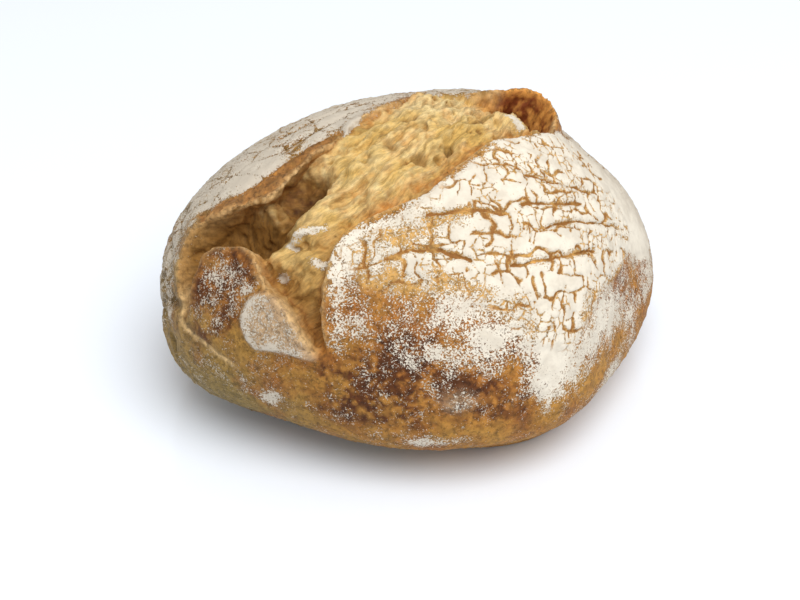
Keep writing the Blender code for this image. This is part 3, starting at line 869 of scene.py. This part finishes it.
def relief(zones):
    """Rise of every point over the part's form, in millimetres."""
    points = zones.points
    crumb = crumb_relief(zones)
    crust = 0.4 * cloudy(points, 14.0, 61, 3, 0.5) + 0.22 * cloudy(points, 2.8, 64, 2, 0.6)
    pimples = bubble_distance(points, 4.2, 66)
    crust += 0.35 * smooth_step(1.0 - pimples / 0.45)
    plates = 0.9 * smooth_step(zones.crack / 0.5)
    plates -= 0.45 * zones.fine_present * (1.0 - smooth_step(zones.fine_crack / 0.4))
    crust += zones.field * plates
    crust += 1.1 * zones.band * ridged(zones.strand, 3.0, 58)
    crust -= 0.3 * zones.lobe * np.exp(-((zones.lobe_crack / 0.35) ** 2))
    crust += 0.8 * oval(zones.places, *WRINKLED_END) * ridged(points * (1.0, 1.0, 0.45), 9.0, 68)
    rise = crust * (1.0 - zones.open_share) + crumb * zones.open_share
    above_base = smooth_step((points[:, 2] - 0.8) / 6.0)
    return rise * above_base


def linear(colour):
    value = np.array(colour, dtype=float) / 255.0
    return np.where(value <= 0.04045, value / 12.92, ((value + 0.055) / 1.055) ** 2.4)


def mixed(base, name, share):
    share = np.clip(share, 0.0, 1.0)[:, None]
    return base * (1.0 - share) + linear(COLOUR[name]) * share


def crust_colours(zones):
    """Broad colour of crust and crumb under the flour, with painted shade and highlights in places, and how
    thick the flour lies.
    """
    places = zones.plain
    points = zones.points
    soft = cloudy(points, 18.0, 71, 3, 0.55)
    fine = cloudy(points, 3.0, 74, 2, 0.6)
    count = len(points)
    lip = smooth_step(zones.lip - 0.5)

    colour = np.tile(linear(COLOUR["gold"]), (count, 1))
    colour = mixed(colour, "olive", 0.9 * oval(places, *OLIVE_LEFT_END))
    colour = mixed(colour, "flap", 0.4 * oval(places, *PALE_LEFT_END))
    colour = mixed(colour, "olive", 0.95 * oval(places, *OLIVE_FRONT))
    # Darker towards the floor: partly the crust's olive foot, partly painted shade on the downward-facing
    # underside
    low = smooth_step((30.0 - points[:, 2]) / 26.0)
    colour = mixed(colour, "low_olive", (0.85 * low + 0.3) * oval(places, *OLIVE_AND_SHADED_FOOT))
    brown = 0.2 + patchy(places, BROWN_PATCHES)
    colour = mixed(colour, "brown", brown + 0.5 * soft + 0.2 * fine)
    dark = patchy(places, DARK_PATCHES) * (1.0 + 1.4 * soft + 1.6 * fine)
    colour = mixed(colour, "dark_brown", dark + 0.22 * soft + 0.12 * fine - 0.03)
    broad = cloudy(points, 46.0, 79)
    colour = mixed(colour, "brown", zones.behind * (0.3 + 0.9 * broad))
    colour = mixed(colour, "dark_brown", zones.behind * (0.5 * broad + 0.3 * soft - 0.05))
    x, y = BLISTER[:2]
    colour = mixed(colour, "flap", 0.65 * oval(places, x, y, 4.0, 2.8, 0.0))
    colour = mixed(colour, "dark_brown", 0.9 * oval(places, x + 0.5, y - 0.5, 1.3, 0.9, 0.0))
    colour = mixed(colour, "ochre", 0.85 * zones.field)
    # Painted shade: the folds are darkened along their creases
    colour = mixed(colour, "low_olive", 0.6 * zones.wrinkle)
    colour = mixed(colour, "low_olive", 0.6 * zones.lobe * np.exp(-((zones.lobe_crack / 0.45) ** 2)))
    colour = mixed(colour, "torn", zones.band * (0.9 + 0.4 * fine))
    colour = mixed(colour, "crumb_toast", zones.band * (0.9 * fine + 0.5 * soft))
    colour = mixed(colour, "flap", 0.75 * zones.flap)

    # Painted light and shade: the crumb is paler on the crests of its relief and at its top, and darker in
    # its furrows
    crests = crumb_relief(zones)
    crumb = np.tile(linear(COLOUR["crumb"]), (count, 1))
    top_light = oval(places, *CRUMB_TOP_LIGHT)
    crumb = mixed(crumb, "crumb_pale", 0.3 + 0.45 * top_light + 0.45 * soft + 0.3 * crests)
    crumb = mixed(crumb, "pore_shade", -0.2 - 0.5 * crests)
    front_edge = smooth_step((places[:, 0] - places[:, 1] + 55.0) / 20.0)
    near_edge = np.exp(-((zones.outward / (2.0 + 3.0 * front_edge)) ** 2))
    near_edge *= 1.0 - 0.9 * oval(places, *CRUMB_BACK_EDGE)
    near_edge *= 1.0 - 0.8 * oval(places, *CRUMB_LEFT_EDGE)
    crumb = mixed(crumb, "crumb_toast", 0.85 * near_edge + 0.35 * fine + 0.4 * soft + 0.06)
    # Painted shade: the large pores are darkened
    for *form, _ in CRUMB_FORMS:
        if form[2] < PORE_LENGTH:
            crumb = mixed(crumb, "pore_shade", 0.95 * oval(zones.places, *form))
    crumb = mixed(crumb, "skin", 0.8 * oval(zones.places, *CRUMB_SKIN))
    # Painted shade: the crumb is darkened with its depth in the split, and most in the hollow at the left end
    left_hollow_shade = oval(zones.places, *LEFT_HOLLOW_SHADE)
    crumb = mixed(crumb, "hollow_shade", (zones.depth - 5.5) / 9.0 + 0.2 * fine + 0.9 * left_hollow_shade)
    # Painted shade: the deep pocket in the crumb is darkened
    crumb = mixed(crumb, "dark_brown", oval(zones.places, *POCKET_SHADE) * (0.5 + 0.5 * fine))
    # Painted shade: a dark line just inside each raised lip, where the lip shades the crumb
    lip_shade_line = np.exp(-(((zones.outward + 1.1) / 0.8) ** 2)) * smooth_step((zones.lip - 1.2) / 1.0)
    crumb = mixed(crumb, "crack_and_shade_line", lip_shade_line * (0.65 + 0.5 * fine))
    colour = colour * (1.0 - zones.open_share[:, None]) + crumb * zones.open_share[:, None]
    ear = oval(zones.places, *EAR) * smooth_step((zones.lip - 4.0) / 5.0)
    ear = np.minimum(2.5 * ear, 1.0)
    ear_inside = ear * smooth_step((1.4 - zones.outward) / 0.6)
    colour = mixed(colour, "ear_wall", ear_inside)
    golden_wall = oval(zones.places, *GOLDEN_WALL)
    colour = mixed(colour, "ear_wall", 0.9 * golden_wall * zones.open_share)
    ear_depth = smooth_step((1.0 - zones.outward) / 0.9)
    colour = mixed(colour, "ear", ear_inside * ear_depth * (0.4 + 1.2 * soft + 1.0 * fine))
    # Painted shade: the wall under the overhanging lip at the left end is darkened
    left_wall_shade = oval(zones.places, *LEFT_WALL_SHADE) * smooth_step((1.5 - zones.outward) / 1.2)
    colour = mixed(colour, "hollow_shade", left_wall_shade * (1.1 + 0.5 * fine))
    # Pale rim along each raised lip's edge: partly a paler torn edge of the crust, partly painted highlight
    left_end = oval(zones.places, *LEFT_RIM)
    pale_rim_highlight = np.exp(-(((zones.outward - 0.5) / 0.8) ** 2)) * lip * (1.0 - 0.75 * left_end) * (1.0 - ear)
    colour = mixed(colour, "pale_rim_highlight", pale_rim_highlight * (0.55 + 0.6 * fine))
    # Painted highlight: a pale line along the lit edge of the fold at the left end
    seam_highlight_away, _ = nearest_on_line(zones.places, FLAP_SEAM_HIGHLIGHT, closed=False)
    seam_highlight = np.exp(-((seam_highlight_away / 0.6) ** 2))
    colour = mixed(colour, "pale_rim_highlight", seam_highlight * (0.8 + 0.6 * fine))

    flour = flour_thickness(zones, places) + 0.12 * soft
    flour *= 1.0 - zones.open_share
    flour *= 1.0 - 0.95 * zones.band
    flour *= 1.0 - ear_inside
    bare_rim = np.exp(-(((zones.outward - 1.0) / 1.6) ** 2)) * smooth_step(0.45 + 1.4 * soft + 0.6 * fine)
    flour *= 1.0 - np.maximum(0.6 * pale_rim_highlight, 0.85 * bare_rim)
    flour *= 1.0 - zones.field * np.clip(0.5 + 0.5 * soft, 0.0, 0.8) * np.exp(-((zones.wide_away / 1.5) ** 2))
    flour *= 1.0 - 0.35 * zones.wrinkle
    flour *= 1.0 - 0.4 * zones.lobe * np.exp(-((zones.lobe_crack / 0.35) ** 2))
    for *flake, thickness in CRUMB_FLAKES:
        flour = np.maximum(flour, thickness * oval(zones.places, *flake))
    return colour, np.clip(flour, 0.0, 1.0)


def flour_thickness(zones, places):
    """Flour on the crust: 0 is bare, 0.5 lies in specks and 1 covers all."""
    thin = THIN_FLOUR + 0.11 * oval(places, *DUSTED_FRONT)
    flour = np.maximum(thin, zones.lobe * (LOBE_THICKNESS - 0.1 * oval(places, *DUSTED_LEFT_END)))
    middle, _ = edge_share(places, MIDDLE_FLOUR, 9.0)
    flour = np.maximum(flour, MIDDLE_THICKNESS * middle)
    right, _ = edge_share(places, RIGHT_FLOUR, 8.0)
    flour = np.maximum(flour, RIGHT_THICKNESS * right)
    field, _ = edge_share(places, THICK_FLOUR, 6.0)
    flour = np.maximum(flour, FIELD_THICKNESS * field)
    flour += patchy(places, FLOUR_PATCHES)
    flap_rim = np.exp(-(((zones.flap_inside - 0.9) / 0.8) ** 2)) * smooth_step((-35.0 - places[:, 0]) / 8.0)
    return flour * (1.0 - zones.flap) + (0.5 + 0.22 * flap_rim) * zones.flap


def add_attribute(mesh, name, kind, values):
    attribute = mesh.attributes.new(name, kind, "POINT")
    if kind == "FLOAT_COLOR":
        values = np.concatenate((values, np.ones((len(values), 1))), axis=1)
        attribute.data.foreach_set("color", values.astype(np.float32).ravel())
    elif kind == "FLOAT_VECTOR":
        attribute.data.foreach_set("vector", values.astype(np.float32).ravel())
    else:
        attribute.data.foreach_set("value", values.astype(np.float32))


def make_loaf():
    ball, directions = form_ball()
    loaf = ball.copy()
    loaf.data = ball.data.copy()
    loaf.name = "crust_and_crumb"
    bpy.context.scene.collection.objects.link(loaf)
    apply_modifier(loaf, "even_faces", "REMESH", mode="VOXEL", voxel_size=VOXEL * MILLIMETRE)
    points = mesh_points(loaf.data)
    zones = Zones(directions_on(ball, directions, points), points)
    points += mesh_points(loaf.data, "normal") * (relief(zones) * MILLIMETRE)[:, None]
    points[points[:, 2] < BASE_SNAP * MILLIMETRE, 2] = 0.0
    set_points(loaf.data, points)
    triangles = sum(len(face.vertices) - 2 for face in loaf.data.polygons)
    apply_modifier(loaf, "fewer_faces", "DECIMATE", ratio=min(1.0, MOST_TRIANGLES / triangles))
    print("loaf triangles", triangles, "kept", len(loaf.data.polygons))
    points = mesh_points(loaf.data)
    zones = Zones(directions_on(ball, directions, points), points)
    colour, flour = crust_colours(zones)
    grey_flour = 0.7 * np.maximum(zones.lobe, oval(zones.places, *GREY_FRONT))
    add_attribute(loaf.data, "under_colour", "FLOAT_COLOR", colour)
    add_attribute(loaf.data, "flour", "FLOAT", flour)
    add_attribute(loaf.data, "crack", "FLOAT", np.where(zones.field > 0.02, zones.crack, 5.0))
    add_attribute(loaf.data, "fine_crack", "FLOAT", zones.fine_crack + 2.0 * (1.0 - zones.fine_present))
    add_attribute(loaf.data, "open_share", "FLOAT", zones.open_share)
    add_attribute(loaf.data, "field", "FLOAT", zones.field)
    add_attribute(loaf.data, "grey_flour", "FLOAT", grey_flour)
    add_attribute(loaf.data, "strand", "FLOAT_VECTOR", zones.strand)
    for face in loaf.data.polygons:
        face.use_smooth = True
    bpy.data.objects.remove(ball, do_unlink=True)
    return loaf


class Nodes:
    """Short calls for building a material's nodes."""

    def __init__(self, material):
        material.use_nodes = True
        self.tree = material.node_tree
        self.shader = self.tree.nodes["Principled BSDF"]

    def new(self, kind, **settings):
        node = self.tree.nodes.new(kind)
        for key, value in settings.items():
            setattr(node, key, value)
        return node

    def link(self, source, target):
        self.tree.links.new(source, target)

    def feed(self, socket, value):
        if isinstance(value, bpy.types.NodeSocket):
            self.link(value, socket)
        else:
            socket.default_value = value

    def attribute(self, name, output="Fac"):
        return self.new("ShaderNodeAttribute", attribute_name=name).outputs[output]

    def noise(self, vector, scale, detail=3.0, roughness=0.6):
        node = self.new("ShaderNodeTexNoise")
        self.link(vector, node.inputs["Vector"])
        node.inputs["Scale"].default_value = scale
        node.inputs["Detail"].default_value = detail
        node.inputs["Roughness"].default_value = roughness
        return node.outputs["Fac"]

    def math(self, operation, first, second=0.0, clamp=False):
        node = self.new("ShaderNodeMath", operation=operation, use_clamp=clamp)
        self.feed(node.inputs[0], first)
        self.feed(node.inputs[1], second)
        return node.outputs[0]

    def ramp(self, value, low, high, to_low=0.0, to_high=1.0):
        node = self.new("ShaderNodeMapRange", interpolation_type="SMOOTHSTEP")
        self.feed(node.inputs["Value"], value)
        self.feed(node.inputs["From Min"], low)
        self.feed(node.inputs["From Max"], high)
        node.inputs["To Min"].default_value = to_low
        node.inputs["To Max"].default_value = to_high
        return node.outputs["Result"]

    def mix(self, share, first, second, blend="MIX"):
        node = self.new("ShaderNodeMix", data_type="RGBA", blend_type=blend)
        self.feed(node.inputs["Factor"], share)
        self.feed(node.inputs["A"], first)
        self.feed(node.inputs["B"], second)
        return node.outputs["Result"]


def rgba(name):
    return (*linear(COLOUR[name]), 1.0)


def loaf_material():
    material = bpy.data.materials.new("floury_crust")
    nodes = Nodes(material)
    place = nodes.new("ShaderNodeTexCoord").outputs["Object"]
    flour = nodes.attribute("flour")
    crack = nodes.attribute("crack")
    fine_crack = nodes.attribute("fine_crack")
    under = nodes.attribute("under_colour", "Color")
    field = nodes.attribute("field")
    open_share = nodes.attribute("open_share")
    strand = nodes.attribute("strand", "Vector")

    patches = nodes.noise(place, *PATCHES)
    specks = nodes.noise(place, *SPECKS)
    grain = nodes.noise(place, *GRAIN)
    fibres = nodes.noise(strand, *FIBRES)

    # Baked crust is mottled under the flour, and the crumb is streaked along its strands
    mottle = nodes.ramp(nodes.noise(place, *MOTTLE), 0.35, 0.65, 0.74, 1.2)
    streaks = nodes.ramp(fibres, 0.34, 0.66, 0.62, 1.2)
    flecks = nodes.ramp(nodes.noise(place, *FLECKS), 0.5, 0.6, 1.08, 0.6)
    mottle = nodes.math("MULTIPLY", mottle, flecks)
    under = nodes.mix(nodes.math("SUBTRACT", 1.0, open_share), under, mottle, "MULTIPLY")
    under = nodes.mix(open_share, under, streaks, "MULTIPLY")

    # Flour lies in specks where it is thin and covers all where it is thick
    thickness = nodes.math("ADD", flour, nodes.math("SUBTRACT", patches, 0.5))
    thickness = nodes.math("ADD", thickness, nodes.math("MULTIPLY", nodes.math("SUBTRACT", specks, 0.5), 2.0))
    dusted = nodes.ramp(thickness, 0.44, 0.58)

    # Cracks between the plates show the crust, and a darker line down each crack is partly the crust's colour
    # and partly painted shade
    wobble = nodes.math("MULTIPLY", nodes.math("SUBTRACT", specks, 0.5), 0.7)
    ragged_crack = nodes.math("ADD", crack, wobble)
    plate = nodes.ramp(ragged_crack, 0.2, 0.42)
    fine_plate = nodes.ramp(nodes.math("ADD", fine_crack, wobble), 0.08, 0.26)
    line = nodes.ramp(ragged_crack, 0.08, 0.3, 0.95, 0.0)
    line = nodes.math("MULTIPLY", line, nodes.ramp(patches, 0.3, 0.52))
    under = nodes.mix(nodes.math("MULTIPLY", line, field), under, rgba("crack_and_shade_line"))
    whole = nodes.math("MULTIPLY", plate, fine_plate)
    whole = nodes.math("MAXIMUM", whole, nodes.math("SUBTRACT", 1.0, field))
    dusted = nodes.math("MULTIPLY", dusted, whole, clamp=True)

    grey_patches = nodes.ramp(patches, 0.35, 0.7, 0.0, 0.6)
    greyness = nodes.math("ADD", nodes.attribute("grey_flour"), grey_patches, clamp=True)
    flour_tone = nodes.mix(greyness, rgba("flour"), rgba("flour_grey"))
    colour = nodes.mix(dusted, under, flour_tone)
    nodes.link(colour, nodes.shader.inputs["Base Color"])
    nodes.link(nodes.ramp(dusted, 0.0, 1.0, 0.62, 0.95), nodes.shader.inputs["Roughness"])
    nodes.shader.inputs["Specular IOR Level"].default_value = CRUST_SPECULAR

    height = nodes.math("ADD", nodes.math("MULTIPLY", dusted, 0.35), nodes.math("MULTIPLY", specks, 0.6))
    height = nodes.math("ADD", height, nodes.math("MULTIPLY", grain, 0.25))
    crumb_height = nodes.math("MULTIPLY", nodes.math("MULTIPLY", fibres, open_share), 1.6)
    height = nodes.math("ADD", height, crumb_height)
    bump = nodes.new("ShaderNodeBump")
    bump.inputs["Strength"].default_value = BUMP_STRENGTH
    bump.inputs["Distance"].default_value = BUMP_DISTANCE
    nodes.link(height, bump.inputs["Height"])
    nodes.link(bump.outputs["Normal"], nodes.shader.inputs["Normal"])
    return material


def floor_material():
    material = bpy.data.materials.new("pale_floor")
    nodes = Nodes(material)
    place = nodes.new("ShaderNodeTexCoord").outputs["Object"]
    haze = nodes.ramp(nodes.noise(place, *FLOOR_HAZE), 0.3, 0.7, 0.12, 0.16)
    nodes.link(haze, nodes.shader.inputs["Roughness"])
    nodes.shader.inputs["Base Color"].default_value = FLOOR_COLOUR
    nodes.shader.inputs["Specular IOR Level"].default_value = FLOOR_SPECULAR
    return material


def add_floor():
    bpy.ops.mesh.primitive_plane_add(size=FLOOR_SIZE, location=(0.0, 0.0, -FLOOR_GAP))
    floor = bpy.context.object
    floor.name = "pale_floor"
    floor.data.materials.append(floor_material())


def add_light_and_world():
    world = bpy.data.worlds.new("studio")
    world.use_nodes = True
    background = world.node_tree.nodes["Background"]
    background.inputs["Color"].default_value = (1.0, 1.0, 1.0, 1.0)
    background.inputs["Strength"].default_value = WORLD_STRENGTH
    bpy.context.scene.world = world
    data = bpy.data.lights.new("overhead", "AREA")
    data.shape = "DISK"
    data.size = LIGHT_SIZE
    data.energy = LIGHT_POWER
    light = bpy.data.objects.new("overhead", data)
    bpy.context.scene.collection.objects.link(light)
    back = np.array(LIGHT_PLACE) - np.array(LIGHT_AIM)
    light.location = LIGHT_PLACE
    light.rotation_mode = "QUATERNION"
    light.rotation_quaternion = Vector(back).to_track_quat("Z", "Y")


def add_camera():
    data = bpy.data.cameras.new("camera")
    data.sensor_width = 36.0
    data.lens = CAMERA_LENS
    data.clip_start = 0.01
    camera = bpy.data.objects.new("camera", data)
    bpy.context.scene.collection.objects.link(camera)
    tilt = math.radians(CAMERA_ELEVATION)
    aim = np.array(CAMERA_AIM)
    camera.location = aim + CAMERA_DISTANCE * np.array((0.0, -math.cos(tilt), math.sin(tilt)))
    camera.rotation_euler = (math.radians(90.0) - tilt, 0.0, 0.0)
    bpy.context.scene.camera = camera


bpy.context.scene.view_settings.view_transform = "Standard"
add_camera()
add_light_and_world()
add_floor()
loaf = make_loaf()
loaf.data.materials.clear()
loaf.data.materials.append(loaf_material())
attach(loaf, "root")
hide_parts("loaf")
